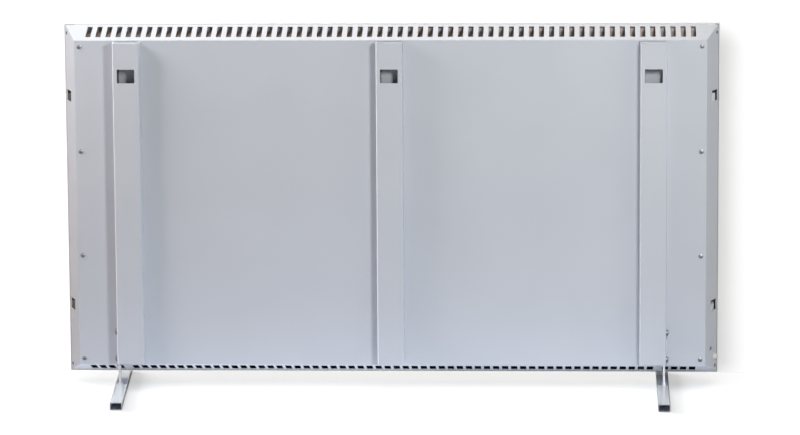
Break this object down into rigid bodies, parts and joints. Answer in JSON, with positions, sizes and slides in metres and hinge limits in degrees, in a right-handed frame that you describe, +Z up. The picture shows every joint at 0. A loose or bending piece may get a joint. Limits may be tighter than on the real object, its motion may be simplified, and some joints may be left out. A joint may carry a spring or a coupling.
{
  "type": "wall panel convector heater",
  "caption": "Wide flat convector heater: stoneware front plate, slotted sheet-steel rear casing with upright hanging ribs, on two levelling tube feet.",
  "frame": {"origin": "on the floor, midway between the feet, under the foot uprights; the middle of the bounding box's bottom", "axes": "+X to the right as seen from the front, +Y to the back, +Z up; the front plate faces -Y and the ribs face +Y"},
  "size_m": [1.2, 0.3507, 0.6705],
  "materials": {
    "stoneware": "satin glaze on the face, raw on the back",
    "gasket_rubber": "matte foam",
    "casing_paint": "semi-gloss pale blue-grey powder coat",
    "foot_paint": "glossy pale grey powder coat",
    "rivet_paint": "semi-gloss powder coat",
    "galvanised_steel": "galvanised",
    "zinc_steel": "bright zinc plate",
    "bond_silicone": "cured silicone",
    "element_sheath": "matte silicone sheath",
    "element_foil": "satin foil",
    "lead_sheath": "matte glass-silicone sleeve",
    "terminal_plastic": "matte",
    "white_plastic": "semi-gloss",
    "brass": "plain"
  },
  "bodies": {
    "heater": {"front_plate": "stoneware", "edge_gasket": "gasket_rubber", "rear_casing": "casing_paint", "left_rib": "casing_paint", "middle_rib": "casing_paint", "right_rib": "casing_paint", "left_side_rail": "galvanised_steel", "right_side_rail": "galvanised_steel", "left_bond_strip": "bond_silicone", "right_bond_strip": "bond_silicone", "casing_screws": "zinc_steel", "clinch_nuts": "zinc_steel", "corner_rivets": "rivet_paint", "heating_cable": "element_sheath", "element_foil": "element_foil", "element_leads": "lead_sheath", "thermal_cutout": "zinc_steel", "terminal_block": "terminal_plastic", "terminal_screws": "brass", "earth_stud": "brass", "earth_nut": "brass", "cable_bush": "white_plastic", "cord_clamp": "white_plastic", "cord_clamp_screw": "zinc_steel"},
    "left_foot": {"left_foot_tube": "foot_paint", "left_foot_upright": "foot_paint", "left_foot_screws": "zinc_steel", "left_foot_nuts": "zinc_steel"},
    "right_foot": {"right_foot_tube": "foot_paint", "right_foot_upright": "foot_paint", "right_foot_screws": "zinc_steel", "right_foot_nuts": "zinc_steel"}
  },
  "joints": [
    {"name": "left_foot_slide", "type": "slide", "parent": "heater", "child": "left_foot", "axis": [0, 0, -1], "range_m": [0, 0.008]},
    {"name": "right_foot_slide", "type": "slide", "parent": "heater", "child": "right_foot", "axis": [0, 0, -1], "range_m": [0, 0.008]}
  ]
}
